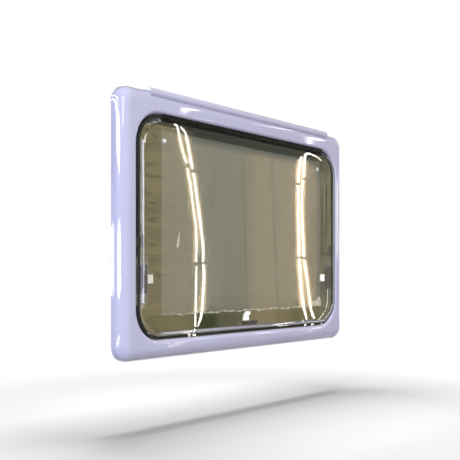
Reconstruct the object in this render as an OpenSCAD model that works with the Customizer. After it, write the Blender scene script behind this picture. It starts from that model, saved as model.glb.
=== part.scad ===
// Top-hung caravan window with a moulded frame, a domed double pane and three turn latches.
// Millimetres. +Z is up and -Y faces outdoors. The origin is on the back face of the frame's
// wall flange, in the middle of its bottom run.

/* [Frame] */
// Width of the moulded frame
frame_w = 900; // [720:1:1200]
// Height of the moulded frame
frame_h = 600; // [520:1:800]
// Depth of the frame from the wall to its face
frame_depth = 36; // [34:1:50]
// Width of the frame's sides, from the outer side to the opening
side_margin = 45.5; // [45:0.5:70]
// Width of the frame's top run
top_margin = 51; // [50:1:70]
// Width of the frame's bottom run
bottom_margin = 43; // [42:1:60]
// Wall thickness of the moulding
wall = 3; // [2:0.5:4]
// Corner radius of the outer side
corner_r = 35; // [31:1:60]
// Rounding of the outer edge of the face
edge_r = 26; // [16:1:27]
// Corner radius of the opening in the face
opening_r = 72; // [60:1:100]
// Rounding of the inner edge of the face
lip_r = 10; // [6:1:12]
// Width of the flange that lies on the caravan wall
flange_w = 14; // [12:1:22]
// Thickness of that flange
flange_t = 4; // [2:0.5:6]
// Depth of the collar that reaches into the wall cut-out
collar_depth = 28; // [20:1:40]
// Width of the seal ledge between the opening and the collar
ledge_w = 8; // [8:0.5:12]
// Thickness of the stiffening ribs in the channel
rib_t = 2; // [1.5:0.5:3]
// Outer diameter of the screw bosses
boss_d = 10; // [8:0.5:12]
// Bore of the screw bosses
screw_bore = 3.6; // [3:0.1:5]
// Distance of the outermost top and bottom bosses from the sides of the frame
boss_corner = 90; // [80:1:140]
// Distance of the side bosses from the top and bottom of the frame
boss_side = 190; // [140:1:220]

/* [Rain gutter] */
// Distance of the gutter's ends from the sides of the frame
gutter_inset = 87.5; // [60:0.5:150]
// Radius of the gutter's trough
gutter_r = 10; // [8:0.5:11]
// Thickness of the gutter's wall
gutter_t = 2; // [1.5:0.5:3]
// Lean of the trough from the top of the frame towards its face, in degrees
gutter_lean = 39.5; // [36:0.5:42]
// Angle to which the trough's front wall curls over, above the level, in degrees
gutter_curl = 60; // [40:5:80]

/* [Panes] */
// Gap between the pane and the opening
pane_gap = 2.5; // [2.2:0.1:5]
// Depth of the pane's rim below the face of the frame
rim_set = 1; // [0:0.5:2]
// Thickness of each acrylic sheet
sheet_t = 3; // [2:0.5:4]
// Width of the flat bonded rim of the outer pane
rim_w = 5; // [5:0.5:12]
// Width of the rising shoulder of the outer pane
shoulder_w = 10; // [8:1:20]
// Rise of the shoulder above the rim
shoulder_rise = 11; // [8:1:16]
// Crown of the outer pane above its shoulder
crown = 6; // [2:0.5:12]
// Diameter of the breather plugs
plug_d = 12; // [8:0.5:16]
// Distance of the breather plugs from the sides of the collar
plug_side = 80; // [30:1:120]
// Distance of the breather plugs below the top of the collar
plug_drop = 50; // [30:1:80]

/* [Seal] */
// Diameter of the seal's bulb
bulb_d = 4; // [3.5:0.5:4.5]
// Width of the seal's foot
seal_foot_w = 6; // [4.5:0.5:6]
// Thickness of the seal's foot
seal_foot_t = 1.5; // [1:0.5:2]

/* [Hinge] */
// Distance of the hinge's ends from the round corners of the opening
hinge_inset = 3; // [2:1:100]
// Radius of the hinge bead on the rail
bead_r = 1.6; // [1.4:0.1:1.8]
// Wall of the claw that grips the bead
claw_t = 1.2; // [1:0.1:1.3]
// Thickness of the rail plate
rail_t = 1.5; // [1:0.1:1.8]

/* [Latches] */
// Height of the side latches above the bottom of the frame
latch_height = 180; // [140:1:240]
// Distance of the side latches' pivots from the collar
side_reach = 20; // [18:0.5:24]
// Distance of the bottom latch's pivot from the collar
bottom_reach = 14.5; // [14.5:0.5:20]
// Length of the bonded pad
pad_len = 107; // [80:1:120]
// Width of the bonded pad
pad_w = 22; // [20:1:26]
// Thickness of the bonded pad
pad_t = 2; // [1.5:0.5:3]
// Length of the latch base
base_len = 63; // [50:1:80]
// Width of the latch base
base_w = 20; // [18:0.5:20]
// Thickness of the latch base
base_t = 4.5; // [4:0.5:6]
// Radius of the post that carries the lever
post_r = 6; // [5.5:0.5:6.5]
// Thickness of the lever's plate
lever_t = 4; // [3:0.5:6]
// Gap between the latch base and the lever's plate
lever_gap = 5; // [5:0.5:7]
// Length of the lever's nose from the pivot
nose_len = 11; // [10:0.5:11.5]
// Length of the lever's handle from the pivot
handle_len = 30; // [26:1:34]
// Width of the lever's handle
handle_w = 20; // [16:1:20]
// Diameter of the pivot pin
pin_d = 6; // [5:0.5:6.5]
// Length of the keeper along the collar
keeper_len = 34; // [26:1:44]
// Height of the keeper's plate on the collar
keeper_plate_h = 20; // [14:1:30]

/* [Stays] */
// Distance of a stay's upper eye below the top of the frame
stay_drop = 137; // [134:1:150]
// Height of a stay's lower eye above the side latches
stay_over = 82; // [80:1:100]
// Distance of the stays behind the pane
stay_set = 23; // [20:1:30]
// Outer diameter of the stay's tube
stay_tube_d = 8; // [7:0.5:9]
// Diameter of the stay's rod
stay_rod_d = 5; // [4:0.5:5]
// Length of the rod that shows below the tube
stay_show = 70; // [50:1:80]

/* [Fits] */
// Running clearance round pins and beads
running = 0.1; // [0.05:0.01:0.1]
// Gap left between soft or curved pieces that meet
touch_gap = 0.3; // [0.2:0.05:0.5]

/* [Hidden] */
$fn = 48;

// Openings of the frame: opening_y is the middle of the opening above the middle of the frame
opening_w = frame_w - 2 * side_margin;
opening_h = frame_h - top_margin - bottom_margin;
opening_y = (bottom_margin - top_margin) / 2;
opening_top = opening_y + opening_h / 2;
through_w = opening_w - 2 * ledge_w;
through_h = opening_h - 2 * ledge_w;
through_r = opening_r - ledge_w;
mid_y = frame_h / 2 - flange_w / 2;

// Levels along the depth, from the wall's surface outwards
rim_top = frame_depth - rim_set;
inner_front = rim_top - sheet_t;
inner_back = inner_front - sheet_t;
bulb_sink = 1;
ledge_top = inner_back - touch_gap - seal_foot_t - bulb_d + bulb_sink;
shoulder_top = rim_top + shoulder_rise;

// Pane outline
pane_w = opening_w - 2 * pane_gap;
pane_h = opening_h - 2 * pane_gap;
pane_r = opening_r - pane_gap;

// Hinge along the top of the opening
hinge_len = opening_w - 2 * opening_r - 2 * hinge_inset;
claw_r = bead_r + running + claw_t;
claw_clear = 0.5;
hinge_foot_t = 1.2;
bead_y = opening_top - rail_t - claw_clear - claw_r;
bead_z = rim_top + hinge_foot_t / 2 + claw_r;
bead_web = 1.2;
rail_back = ledge_top + touch_gap;
rail_front = bead_z + claw_r;

// Latches: levels from the pane towards the room
pad_back = inner_back - pad_t;
base_back = pad_back - base_t;
lever_front = base_back - lever_gap;
lever_back = lever_front - lever_t;
nose_gap = 0.5;
step_clear = 1.5;
keeper_back = lever_front + nose_gap;
keeper_front = base_back - nose_gap;
keeper_plate_t = 1.5;
nose_r = 5;
pin_head_t = 2;
pin_head_r = pin_d / 2 + 1.5;
base_shift = 4;
pad_shift = 2.5;
pad_drop = 4;
side_latch_x = through_w / 2 - side_reach;
side_latch_y = latch_height - frame_h / 2;
bottom_latch_y = opening_y - through_h / 2 + bottom_reach;

// Stays beside the collar
stay_side_gap = 4;
stay_x = through_w / 2 - stay_tube_d / 2 - stay_side_gap;
stay_z = inner_back - stay_set;
stay_top_y = frame_h / 2 - stay_drop;
stay_foot_y = side_latch_y + stay_over;
stay_span = stay_top_y - stay_foot_y;
stay_eye_r = 5;
stay_eye_t = 4;
stay_pin_d = 4;
bracket_len = 24;
bracket_t = 3;

// Turns the flat drawing upright, with its middle over the origin
module upright() {
    rotate([90, 0, 0]) translate([0, mid_y, 0]) children();
}

// The same for what is drawn about the middle of the opening
module upright_opening() {
    upright() translate([0, opening_y, 0]) children();
}

// Rectangle with round corners, centred
module round_rect(w, h, r) {
    square([w - 2 * r, h], center = true);
    square([w, h - 2 * r], center = true);
    for (sx = [-1, 1], sy = [-1, 1])
        translate([sx * (w / 2 - r), sy * (h / 2 - r)]) circle(r);
}

// Plate with round corners between two levels
module plate(w, h, r, low, high) {
    translate([0, 0, low]) linear_extrude(high - low) round_rect(w, h, r);
}

// Sweeps a section round a rectangle with round corners: the section's X points outwards
module sweep_round(w, h, r) {
    for (k = [0:3]) {
        across = k % 2 == 0 ? w : h;
        along = k % 2 == 0 ? h : w;
        rotate([0, 0, 90 * k]) {
            translate([across / 2, 0, 0]) rotate([90, 0, 0])
                linear_extrude(along - 2 * r, center = true) children();
            translate([across / 2 - r, along / 2 - r, 0])
                rotate_extrude(angle = 90) translate([r, 0]) children();
        }
    }
}

// Quarter of a disc
module quarter_disc(r) {
    intersection() {
        circle(r);
        square(r);
    }
}

// What a rounded lip leaves out of a square edge
module lip_cut(r) {
    difference() {
        translate([-1, 0]) square([r + 1, r + 1]);
        translate([r, 0]) circle(r);
    }
}

// Outer side of the frame, its surface moved inwards by inset
module outer_form(inset, low) {
    plate(frame_w - 2 * inset, frame_h - 2 * inset, corner_r - inset, low, frame_depth - edge_r);
    plate(frame_w - 2 * edge_r, frame_h - 2 * edge_r, corner_r - edge_r, low, frame_depth - inset);
    translate([0, 0, frame_depth - edge_r])
        sweep_round(frame_w - 2 * edge_r, frame_h - 2 * edge_r, corner_r - edge_r)
            quarter_disc(edge_r - inset);
}

// Stepped opening with its rounded lip, made wider by inset
module opening_form(inset) {
    grow = 2 * inset;
    plate(opening_w + grow, opening_h + grow, opening_r + inset, ledge_top - inset, frame_depth + 1);
    plate(through_w + grow, through_h + grow, through_r + inset, -2, ledge_top);
    translate([0, 0, frame_depth - lip_r])
        sweep_round(opening_w + grow, opening_h + grow, opening_r + inset) lip_cut(lip_r - inset);
}

// Body of the frame between its outer side and the stepped opening
module frame_form(inset, low) {
    difference() {
        outer_form(inset, low);
        translate([0, opening_y, 0]) opening_form(inset);
    }
}

// Places of the screw bosses in the channel
boss_inset = flange_w + boss_d / 2 + 4;
boss_row_x = frame_w / 2 - boss_corner;
boss_side_y = frame_h / 2 - boss_side;
boss_points = [
    for (sy = [-1, 1], i = [-1, -1 / 3, 1 / 3, 1]) [i * boss_row_x, sy * (frame_h / 2 - boss_inset)],
    for (sx = [-1, 1], sy = [-1, 1]) [sx * (frame_w / 2 - boss_inset), sy * boss_side_y]
];
boss_roof = 2;

// Ribs across the channel, halfway between the bosses and beside the corners
rib_setback = 1;
module channel_ribs() {
    for (x = [-boss_row_x * 2 / 3, 0, boss_row_x * 2 / 3])
        translate([x - rib_t / 2, -frame_h / 2, rib_setback]) cube([rib_t, frame_h, frame_depth]);
    for (y = [-boss_side_y * 1.6, 0, boss_side_y * 1.6])
        translate([-frame_w / 2, y - rib_t / 2, rib_setback]) cube([frame_w, rib_t, frame_depth]);
}

// Moulded outer frame
module outer_frame() {
    upright() color([0.79, 0.78, 0.87]) difference() {
        union() {
            difference() {
                frame_form(0, 0);
                difference() {
                    frame_form(wall, -1);
                    channel_ribs();
                    for (p = boss_points)
                        translate([p[0], p[1], rib_setback]) cylinder(d = boss_d, h = frame_depth);
                }
            }
            difference() {
                plate(frame_w, frame_h, corner_r, 0, flange_t);
                plate(frame_w - 2 * flange_w, frame_h - 2 * flange_w, corner_r - flange_w, -1, flange_t + 1);
            }
            translate([0, opening_y, 0]) difference() {
                plate(through_w + 2 * wall, through_h + 2 * wall, through_r + wall, -collar_depth, 1);
                plate(through_w, through_h, through_r, -collar_depth - 1, 2);
            }
        }
        for (p = boss_points)
            translate([p[0], p[1], -1]) cylinder(d = screw_bore, h = frame_depth - wall - boss_roof + 1);
    }
}

// Section of the rain gutter, with the height along X and the depth along Y
module gutter_section() {
    edge_y = frame_h / 2 - edge_r;
    edge_z = frame_depth - edge_r;
    floor_r = edge_r + touch_gap;
    trough_out = floor_r + gutter_t - 0.5;
    trough_y = edge_y + trough_out * cos(gutter_lean);
    trough_z = edge_z + trough_out * sin(gutter_lean);
    fan = 2 * edge_r + gutter_r;
    difference() {
        union() {
            translate([edge_y, edge_z]) intersection() {
                circle(floor_r + gutter_t);
                polygon([[0, 0], [fan, 0], [fan * cos(gutter_lean), fan * sin(gutter_lean)]]);
            }
            translate([frame_h / 2 + touch_gap, 1]) square([gutter_t, edge_z - 1]);
            translate([trough_y, trough_z]) difference() {
                circle(gutter_r);
                circle(gutter_r - gutter_t);
                rotate(270 - gutter_curl) translate([-fan, 0]) square(2 * fan);
            }
        }
        translate([edge_y, edge_z]) circle(floor_r);
    }
    translate([edge_y, edge_z]) difference() {
        intersection() {
            circle(floor_r + gutter_t);
            translate([trough_y - edge_y, trough_z - edge_z]) circle(gutter_r);
        }
        circle(floor_r);
    }
}

// Rain gutter along the top of the frame
module rain_gutter() {
    gutter_len = frame_w - 2 * gutter_inset;
    upright() color([0.80, 0.79, 0.88]) translate([-gutter_len / 2, 0, 0]) rotate([90, 0, 90])
        linear_extrude(gutter_len) gutter_section();
}

// Seal bulb that the sash closes on
module frame_seal() {
    seal_mid = ledge_w - seal_foot_w / 2;
    upright_opening() color([0.12, 0.12, 0.13]) translate([0, 0, ledge_top])
        sweep_round(opening_w - 2 * seal_mid, opening_h - 2 * seal_mid, opening_r - seal_mid) {
            translate([-seal_foot_w / 2, 0]) square([seal_foot_w, seal_foot_t]);
            translate([0, seal_foot_t + bulb_d / 2 - bulb_sink]) circle(d = bulb_d);
        }
}

// Fixed rail with the hinge bead
module hinge_rail() {
    upright() color([0.10, 0.10, 0.11]) translate([-hinge_len / 2, 0, 0]) rotate([90, 0, 90])
        linear_extrude(hinge_len) {
            translate([opening_top - rail_t, rail_back]) square([rail_t, rail_front - rail_back]);
            translate([bead_y, bead_z - bead_web / 2]) square([opening_top - rail_t / 2 - bead_y, bead_web]);
            translate([bead_y, bead_z]) circle(bead_r);
        }
}

// Claw profile bonded to the rim of the pane
module sash_hinge_profile() {
    slot_w = bead_web + 1;
    foot_low = opening_top - pane_gap - rim_w + touch_gap;
    upright() color([0.10, 0.10, 0.11]) translate([-hinge_len / 2, 0, 0]) rotate([90, 0, 90])
        linear_extrude(hinge_len) difference() {
            union() {
                translate([bead_y, bead_z]) circle(claw_r);
                translate([foot_low, rim_top]) square([rim_w - 2 * touch_gap, hinge_foot_t]);
            }
            translate([bead_y, bead_z]) circle(bead_r + running);
            translate([bead_y, bead_z - slot_w / 2]) square([claw_r + 1, slot_w]);
        }
}

// Points of a rounded rectangle, counted anticlockwise from the right side
corner_steps = 9;
side_steps = 5;
function corner_arc(w, h, r, k) = [
    for (i = [0:corner_steps])
        let (a = 90 * k + 90 * i / corner_steps, sx = k == 0 || k == 3 ? 1 : -1, sy = k < 2 ? 1 : -1)
        [sx * (w / 2 - r) + r * cos(a), sy * (h / 2 - r) + r * sin(a)]
];
function side_points(p, q) = [for (i = [1:side_steps - 1]) p + (q - p) * i / side_steps];
function outline(w, h, r) = [
    for (k = [0:3])
        let (arc = corner_arc(w, h, r, k), next = corner_arc(w, h, r, (k + 1) % 4))
        each concat(arc, side_points(arc[corner_steps], next[0]))
];

// Crown of the pane over a point: it starts where the rim ends and runs on over the shoulder
dome_w = pane_w - 2 * rim_w;
dome_h = pane_h - 2 * rim_w;
function bulge(p) = crown * max(0, 1 - pow(2 * p[0] / dome_w, 2)) * max(0, 1 - pow(2 * p[1] / dome_h, 2));
corner_least = 20;
function rim_outline(inset) =
    outline(pane_w - 2 * inset, pane_h - 2 * inset, max(pane_r - inset, corner_least));
function ring_at(inset, level) = [for (p = rim_outline(inset)) [p[0], p[1], level]];
function dome_ring(scale, inset, level) = [
    for (p = rim_outline(inset)) let (q = p * scale) [q[0], q[1], level + bulge(q)]
];
shoulder_steps = 6;
function shoulder_out(i) = rim_w + shoulder_w * i / shoulder_steps;
function shoulder_up(i) = shoulder_rise * sin(90 * i / shoulder_steps);
dome_scales = [0.93, 0.84, 0.72, 0.58, 0.42, 0.25, 0.1];
skin_rings = concat(
    [ring_at(0, inner_front), ring_at(0, rim_top)],
    [for (i = [0:shoulder_steps]) dome_ring(1, shoulder_out(i), rim_top + shoulder_up(i))],
    [for (f = dome_scales) dome_ring(f, shoulder_out(shoulder_steps), shoulder_top)]
);
back_rings = concat(
    [for (f = [len(dome_scales) - 1:-1:0])
        dome_ring(dome_scales[f], shoulder_out(shoulder_steps) + sheet_t, shoulder_top - sheet_t)],
    [for (i = [shoulder_steps:-1:0]) dome_ring(1, shoulder_out(i) + sheet_t, inner_front + shoulder_up(i))]
);

// Closed solid through a stack of rings, whose first ring joins the last one
module ring_solid(front, back) {
    n = len(front[0]);
    rings = concat(front, back);
    tip_front = [0, 0, shoulder_top + crown];
    tip_back = [0, 0, shoulder_top - sheet_t + crown];
    points = concat([for (ring = rings) each ring], [tip_front, tip_back]);
    last_front = len(front) - 1;
    total = len(rings);
    faces = concat(
        [for (j = [0:total - 1], i = [0:n - 1]) if (j != last_front)
            let (a = j * n, b = ((j + 1) % total) * n, m = (i + 1) % n) each
            [[a + i, b + i, b + m], [a + i, b + m, a + m]]],
        [for (i = [0:n - 1]) [last_front * n + i, total * n, last_front * n + (i + 1) % n]],
        [for (i = [0:n - 1]) [(last_front + 1) * n + (i + 1) % n, total * n + 1, (last_front + 1) * n + i]]
    );
    polyhedron(points, faces);
}

// Domed outer sheet of the double pane
module outer_pane() {
    upright_opening() color([0.36, 0.34, 0.30, 0.75]) ring_solid(skin_rings, back_rings);
}

// Place of the breather plugs
plug_x = through_w / 2 - plug_side;
plug_y = through_h / 2 - plug_drop;

// Flat inner sheet of the double pane
module inner_pane() {
    upright_opening() color([0.42, 0.40, 0.36, 0.75]) difference() {
        plate(pane_w, pane_h, pane_r, inner_back, inner_front);
        for (s = [-1, 1])
            translate([s * plug_x, plug_y, inner_back - 1]) cylinder(d = plug_d - 4, h = sheet_t + 2);
    }
}

// Plug in the breather hole of the inner sheet
module breather_plug(s) {
    translate([s * plug_x, plug_y, inner_back - 2]) {
        cylinder(d = plug_d, h = 2);
        cylinder(d = plug_d - 4, h = sheet_t + 2.5);
    }
}
module breather_plug_left() {
    upright_opening() color([0.85, 0.85, 0.85]) breather_plug(-1);
}
module breather_plug_right() {
    upright_opening() color([0.85, 0.85, 0.85]) breather_plug(1);
}

// Places of the three latches: each is drawn with its nose towards -X and its pivot on the origin
module at_left() {
    upright() translate([-side_latch_x, side_latch_y, 0]) children();
}
module at_right() {
    upright() translate([side_latch_x, side_latch_y, 0]) mirror([1, 0, 0]) children();
}
module at_bottom() {
    upright() translate([0, bottom_latch_y, 0]) rotate([0, 0, 90]) children();
}

// Clear pad that bonds the latch to the pane
module latch_pad() {
    color([0.75, 0.74, 0.70, 0.8]) translate([-pad_shift, -pad_drop, 0])
        plate(pad_w, pad_len, 5, pad_back, inner_back);
}

// Latch base with the post that carries the lever
module latch_base() {
    post_back = lever_front + touch_gap;
    color([0.38, 0.31, 0.27]) difference() {
        union() {
            translate([-base_shift, 0, 0]) plate(base_w, base_len, 4, base_back, pad_back);
            translate([0, 0, post_back]) cylinder(r = post_r, h = pad_back - post_back);
        }
        translate([0, 0, lever_front]) cylinder(d = pin_d, h = pad_back - lever_front - 1);
    }
}

// Headed pin that the lever turns on
module latch_pin() {
    head_front = lever_back - touch_gap;
    color([0.70, 0.71, 0.73]) {
        translate([0, 0, head_front - pin_head_t]) cylinder(r = pin_head_r, h = pin_head_t);
        translate([0, 0, head_front - 1]) cylinder(d = pin_d, h = pad_back - head_front);
    }
}

// Turn lever: its nose goes behind the keeper, and its handle steps up towards the pane past the keeper
module latch_lever() {
    hub_r = post_r + 1;
    run = handle_len - post_r;
    step = keeper_len / 2 + step_clear - post_r;
    top = lever_t + lever_gap - nose_gap;
    bend = 3;
    color([0.90, 0.89, 0.87]) difference() {
        union() {
            translate([0, 0, lever_back]) {
                cylinder(r = hub_r, h = lever_t);
                translate([nose_r - nose_len, -nose_r, 0]) cube([nose_len - nose_r, 2 * nose_r, lever_t]);
                translate([nose_r - nose_len, 0, 0]) cylinder(r = nose_r, h = lever_t);
            }
            translate([post_r, 0, lever_back]) rotate([90, 0, 0]) linear_extrude(handle_w, center = true)
                polygon([
                    [-2, 0], [-2, lever_t], [step, lever_t], [step + bend, top], [run, top],
                    [run, top - lever_t], [step + 2 * bend, top - lever_t], [step + bend, 0]
                ]);
        }
        translate([0, 0, lever_back - 1]) cylinder(d = pin_d + 2 * running, h = lever_t + 2);
    }
}

// Keeper on the collar that the nose turns behind, for a pivot at reach from the collar
module keeper(reach) {
    tongue = reach - post_r - 2;
    color([0.38, 0.31, 0.27]) translate([-reach, -keeper_len / 2, 0]) {
        translate([0, 0, keeper_back]) cube([tongue, keeper_len, keeper_front - keeper_back]);
        translate([0, 0, keeper_front - keeper_plate_h]) cube([keeper_plate_t, keeper_len, keeper_plate_h]);
    }
}

module latch_left_pad() { at_left() latch_pad(); }
module latch_left_base() { at_left() latch_base(); }
module latch_left_pin() { at_left() latch_pin(); }
module latch_left_lever() { at_left() latch_lever(); }
module keeper_left() { at_left() keeper(side_reach); }
module latch_right_pad() { at_right() latch_pad(); }
module latch_right_base() { at_right() latch_base(); }
module latch_right_pin() { at_right() latch_pin(); }
module latch_right_lever() { at_right() latch_lever(); }
module keeper_right() { at_right() keeper(side_reach); }
module latch_bottom_pad() { at_bottom() latch_pad(); }
module latch_bottom_base() { at_bottom() latch_base(); }
module latch_bottom_pin() { at_bottom() latch_pin(); }
module latch_bottom_lever() { at_bottom() latch_lever(); }
module keeper_bottom() { at_bottom() keeper(bottom_reach); }

// Stays: drawn on the right side, with the collar at +X, and mirrored for the left
module stay_side(s) {
    upright() mirror([s < 0 ? 1 : 0, 0, 0]) children();
}

// Pin along X through the eye of a stay
module stay_pin(low, high) {
    translate([low, 0, 0]) rotate([0, 90, 0]) cylinder(d = stay_pin_d, h = high - low);
}

// Bracket on the collar, with the pin of the stay's upper eye
module stay_frame_bracket() {
    bracket_h = 14;
    color([0.20, 0.20, 0.22]) translate([stay_x, stay_top_y, stay_z]) {
        collar_x = through_w / 2 - stay_x;
        translate([collar_x - bracket_t, -bracket_len / 2, -bracket_h / 2])
            cube([bracket_t, bracket_len, bracket_h]);
        stay_pin(-stay_eye_t / 2 - 1, collar_x - bracket_t / 2);
    }
}

// Eye that a stay hangs on
module stay_eye() {
    translate([-stay_eye_t / 2, 0, 0]) rotate([0, 90, 0]) cylinder(r = stay_eye_r, h = stay_eye_t);
}

// Bore through an eye
module stay_eye_bore() {
    rotate([0, 90, 0]) cylinder(d = stay_pin_d + 2 * running, h = 4 * stay_eye_t, center = true);
}

// Outer tube of the stay, with its eye
module stay_tube() {
    tube_len = stay_span - stay_show;
    solid_len = 12;
    color([0.16, 0.16, 0.17]) translate([stay_x, stay_top_y, stay_z]) difference() {
        union() {
            rotate([90, 0, 0]) cylinder(d = stay_tube_d, h = tube_len);
            stay_eye();
        }
        stay_eye_bore();
        translate([0, -solid_len, 0]) rotate([90, 0, 0])
            cylinder(d = stay_rod_d + 2 * running, h = tube_len);
    }
}

// Rod that slides in the tube, with its eye
module stay_rod() {
    rod_end = 30;
    color([0.70, 0.71, 0.73]) translate([stay_x, stay_foot_y, stay_z]) difference() {
        union() {
            rotate([-90, 0, 0]) cylinder(d = stay_rod_d, h = stay_span - rod_end);
            stay_eye();
        }
        stay_eye_bore();
    }
}

// Bracket bonded to the inner sheet, with the pin of the stay's lower eye
module stay_sash_bracket() {
    foot_w = 13;
    web_w = 16;
    web_t = 4;
    web_x = -stay_eye_t / 2 - 1 - web_t;
    color([0.20, 0.20, 0.22]) translate([stay_x, stay_foot_y, stay_z]) {
        translate([stay_side_gap - foot_w, -bracket_len / 2, stay_set - bracket_t])
            cube([foot_w, bracket_len, bracket_t]);
        translate([web_x, -web_w / 2, -stay_eye_r]) cube([web_t, web_w, stay_set - 1 + stay_eye_r]);
        stay_pin(web_x + web_t / 2, stay_eye_t / 2 + 1);
    }
}

module stay_left_frame_bracket() { stay_side(-1) stay_frame_bracket(); }
module stay_left_tube() { stay_side(-1) stay_tube(); }
module stay_left_rod() { stay_side(-1) stay_rod(); }
module stay_left_sash_bracket() { stay_side(-1) stay_sash_bracket(); }
module stay_right_frame_bracket() { stay_side(1) stay_frame_bracket(); }
module stay_right_tube() { stay_side(1) stay_tube(); }
module stay_right_rod() { stay_side(1) stay_rod(); }
module stay_right_sash_bracket() { stay_side(1) stay_sash_bracket(); }

outer_frame();
rain_gutter();
frame_seal();
hinge_rail();
sash_hinge_profile();
outer_pane();
inner_pane();
breather_plug_left();
breather_plug_right();
latch_left_pad();
latch_left_base();
latch_left_pin();
latch_left_lever();
keeper_left();
latch_right_pad();
latch_right_base();
latch_right_pin();
latch_right_lever();
keeper_right();
latch_bottom_pad();
latch_bottom_base();
latch_bottom_pin();
latch_bottom_lever();
keeper_bottom();
stay_left_frame_bracket();
stay_left_tube();
stay_left_rod();
stay_left_sash_bracket();
stay_right_frame_bracket();
stay_right_tube();
stay_right_rod();
stay_right_sash_bracket();
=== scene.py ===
"""A top-hung caravan window with a domed double pane, shown in a plain studio."""

import math

import bpy
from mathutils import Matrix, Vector
from mathutils.bvhtree import BVHTree
from mathutils.interpolate import poly_3d_calc


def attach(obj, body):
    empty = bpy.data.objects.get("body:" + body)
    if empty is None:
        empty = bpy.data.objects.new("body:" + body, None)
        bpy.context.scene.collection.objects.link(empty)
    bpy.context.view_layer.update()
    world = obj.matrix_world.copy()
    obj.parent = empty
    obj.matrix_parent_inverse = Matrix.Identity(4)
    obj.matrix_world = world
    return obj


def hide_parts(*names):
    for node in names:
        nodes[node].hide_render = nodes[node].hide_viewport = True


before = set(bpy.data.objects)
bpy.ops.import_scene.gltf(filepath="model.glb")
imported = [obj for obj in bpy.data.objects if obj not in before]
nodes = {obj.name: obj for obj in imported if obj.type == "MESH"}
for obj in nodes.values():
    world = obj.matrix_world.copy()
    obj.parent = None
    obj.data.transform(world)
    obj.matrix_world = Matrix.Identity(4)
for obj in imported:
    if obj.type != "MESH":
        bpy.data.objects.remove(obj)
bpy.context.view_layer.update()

# Lengths are in metres, apart from those that are said to be in pixels of the picture

# Camera, matched to the photograph: its sensor in millimetres and its yaw in degrees
IMAGE_SIDE = 460
FOCAL_PIXELS = 802.5
HORIZON_ROW = 273.5
CAMERA_PLACE = (-1.6317, -1.2851, 0.1854)
CAMERA_YAW = 51.04
SENSOR = 36.0

# Outer sheet of the pane, as its solid has it, with levels measured outwards from the wall
PANE_MIDDLE_Z = 0.289
PANE_W = 0.804
PANE_H = 0.501
PANE_R = 0.0695
LEAST_R = 0.02
RIM_TOP = 0.035
SHEET = 0.003
RIM_W = 0.005
RIM_BEVEL = 0.0006
SHOULDER_W = 0.010
SHOULDER_RISE = 0.011
CROWN = 0.0056
DOME_W = PANE_W - 2 * RIM_W
DOME_H = PANE_H - 2 * RIM_W

# Steps of its mesh, and the signs of its corners in the order in which the outline meets them
CORNER_STEPS = 22
SIDE_STEPS = 16
SHOULDER_STEPS = 14
DOME_STEPS = 22
CORNERS = ((1, 1), (-1, 1), (-1, -1), (1, -1))

# Protective film on the outer sheet, and the waves of its edges: height, turn and shift
FILM_LEFT, FILM_RIGHT = -0.342, 0.303
FILM_TOP, FILM_LOW = 0.503, 0.093
FILM_GAP = 0.00025
FILM_ACROSS, FILM_DOWN = 160, 60
TOP_WAVES = ((0.0004, 9, 0),)
TEAR_WAVES = ((0.0012, 41, 0), (0.0009, 97, 1), (0.0006, 223, 0))

# Its curled lower edge, which is thin at the left end and full from a fifth of the width on
CURL_STEPS = 420
CURL_GAP = 0.0002
CURL_LEAST, CURL_GROWTH, CURL_RISE = 0.00024, 0.00104, 5
CURL_WAVES = ((0.5, 151, 0), (0.35, 67, 2))

# Its lower right corner, which has come off: the two ends of the fold, then the tip
LIFTED_CORNER = ((0.264, FILM_LOW + 0.006), (FILM_RIGHT, 0.122), (0.306, FILM_LOW))
LIFTED_STEPS = 10
LIFT, LIFT_GAP, LIFT_TURN = 0.0035, 0.0006, 0.6

# Its crease, which stands up like a comma: x, z and half width, then its section
CREASE = (
    (-0.2855, 0.2790, 0.0006),
    (-0.2863, 0.2720, 0.0016),
    (-0.2880, 0.2640, 0.0028),
    (-0.2898, 0.2560, 0.0042),
    (-0.2912, 0.2490, 0.0040),
    (-0.2915, 0.2440, 0.0022),
    (-0.2908, 0.2420, 0.0006),
)
CREASE_SECTION = ((-1, 0.0002), (-0.4, 0.0011), (0.4, 0.0011), (1, 0.0002))

# The frame's opening, and the painted shade in its reveal: where it starts behind the lip, how
# far it lies round the opening, and the heights between which it darkens towards its top
OPENING_W = 0.809
OPENING_H = 0.506
OPENING_R = 0.072
REVEAL_SHADE_FRONT = -0.0262
REVEAL_SHADE_PLAY = 0.0008
REVEAL_SHADE_DARKENS = (0.520, 0.538)
REVEAL_TOP_SHADE_SHARE = 0.2
REVEAL_SHADE_ROUGHER = 0.4

# Detail of moulded surfaces: scales of its noise, depth of its grain, and spread of its gloss
CLOUD_SCALE = 14.0
GRAIN_SCALE = 180.0
GRAIN_DEPTH = 0.00005
GLOSS_SPREAD = 0.15

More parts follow.
